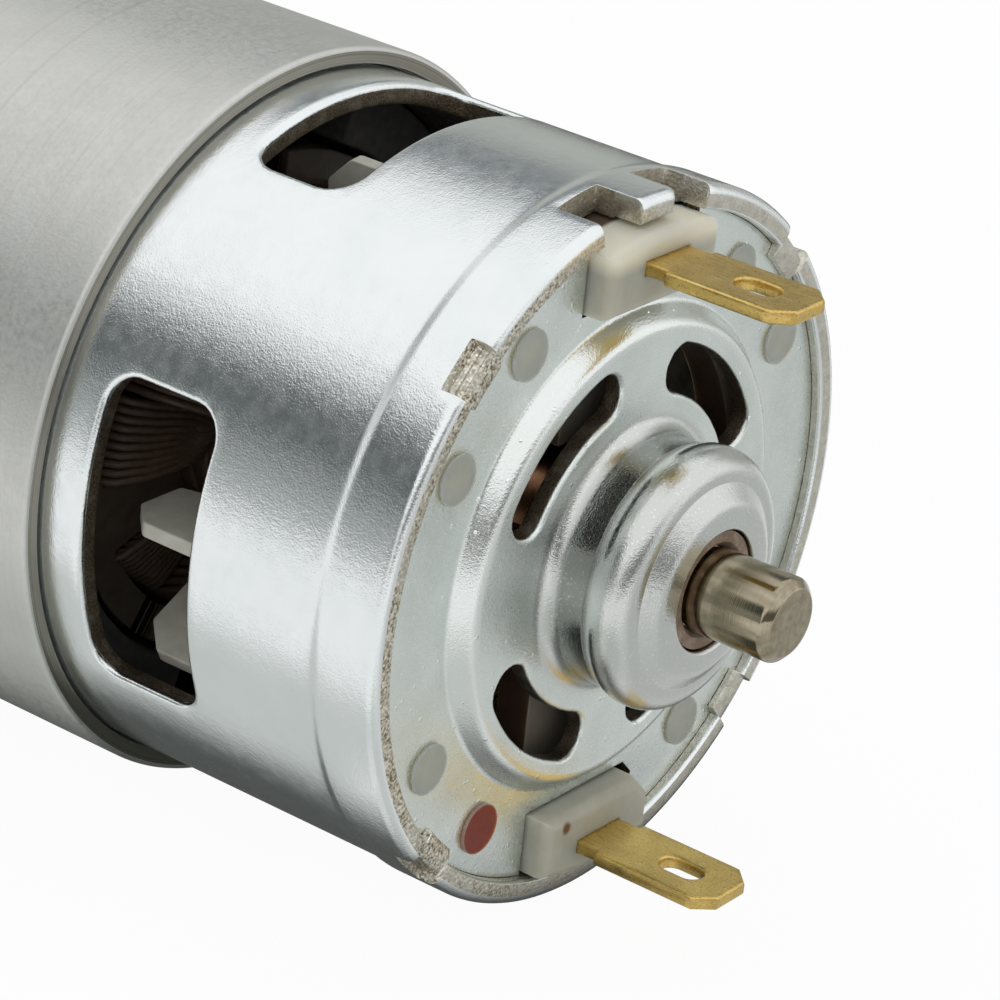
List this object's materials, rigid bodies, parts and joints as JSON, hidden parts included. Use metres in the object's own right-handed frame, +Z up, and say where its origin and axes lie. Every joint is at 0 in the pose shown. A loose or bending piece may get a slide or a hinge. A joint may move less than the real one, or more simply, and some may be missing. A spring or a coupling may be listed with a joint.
{
  "type": "brushed dc motor",
  "caption": "Cylindrical brushed permanent-magnet DC motor with a shaft at both ends, flux ring, vented can, fan, and tab terminals in nylon blocks on the rear end plate.",
  "frame": {"origin": "centre of the front mounting face, on the shaft axis, midway between the two mounting screws", "axes": "+Y along the output shaft away from the body, +Z up through the upper terminal, +X across the mounting screws"},
  "size_m": [0.0445, 0.1001, 0.0444],
  "materials": {
    "zinc_plate": "satin",
    "ring_steel": "satin",
    "ground_steel": "polished",
    "bearing_steel": "polished",
    "spring_steel": "satin",
    "core_steel": "satin",
    "ferrite": "matte",
    "bronze": "satin",
    "brass": "satin",
    "copper": "satin",
    "enamel_wire": "gloss",
    "carbon": "matte",
    "nylon": "satin",
    "fan_nylon": "satin",
    "phenolic": "satin",
    "insulation": "matte",
    "felt": "matte"
  },
  "bodies": {
    "housing": {"motor_can": "zinc_plate", "flux_ring": "ring_steel", "magnet_left": "ferrite", "magnet_right": "ferrite", "magnet_clip_top": "spring_steel", "magnet_clip_bottom": "spring_steel", "end_bell": "zinc_plate", "rear_bush": "bronze", "oil_felt": "felt", "bush_retainer": "spring_steel", "brush_base": "nylon", "terminal_top": "brass", "terminal_bottom": "brass", "brush_box_top": "brass", "brush_box_bottom": "brass", "brush_spring_top": "spring_steel", "brush_spring_bottom": "spring_steel", "pigtail_top": "copper", "pigtail_bottom": "copper", "bearing_outer_race": "bearing_steel", "bearing_shields": "bearing_steel"},
    "rotor": {"shaft": "ground_steel", "bearing_inner_race": "bearing_steel", "front_spacer": "ground_steel", "armature_core": "core_steel", "insulator_rear": "insulation", "insulator_front": "insulation", "commutator_hub": "phenolic", "thrust_washers": "spring_steel", "cooling_fan": "fan_nylon", "coil_1": "enamel_wire", "coil_2": "enamel_wire", "coil_3": "enamel_wire", "coil_4": "enamel_wire", "coil_5": "enamel_wire", "commutator_bar_1": "copper", "commutator_bar_2": "copper", "commutator_bar_3": "copper", "commutator_bar_4": "copper", "commutator_bar_5": "copper"},
    "ball_set": {"bearing_cage": "bearing_steel", "bearing_balls": "bearing_steel"},
    "upper_brush": {"brush_top": "carbon"},
    "lower_brush": {"brush_bottom": "carbon"}
  },
  "joints": [
    {"name": "rotor_spin", "type": "hinge", "parent": "housing", "child": "rotor", "pos_m": [0, 0, 0], "axis": [0, 1, 0], "continuous": true},
    {"name": "ball_set_spin", "type": "hinge", "parent": "housing", "child": "ball_set", "pos_m": [0, 0, 0], "axis": [0, 1, 0], "continuous": true},
    {"name": "upper_brush_slide", "type": "slide", "parent": "housing", "child": "upper_brush", "axis": [0, 0, 1], "range_m": [0, 0.0018], "stiffness_N_per_m": 250, "springref_m": -0.006, "deforming": ["brush_spring_top", "pigtail_top"]},
    {"name": "lower_brush_slide", "type": "slide", "parent": "housing", "child": "lower_brush", "axis": [0, 0, -1], "range_m": [0, 0.0018], "stiffness_N_per_m": 250, "springref_m": -0.006, "deforming": ["brush_spring_bottom", "pigtail_bottom"]}
  ],
  "couplings": [
    {"joint": "ball_set_spin", "follows": "rotor_spin", "ratio": 0.3762}
  ]
}
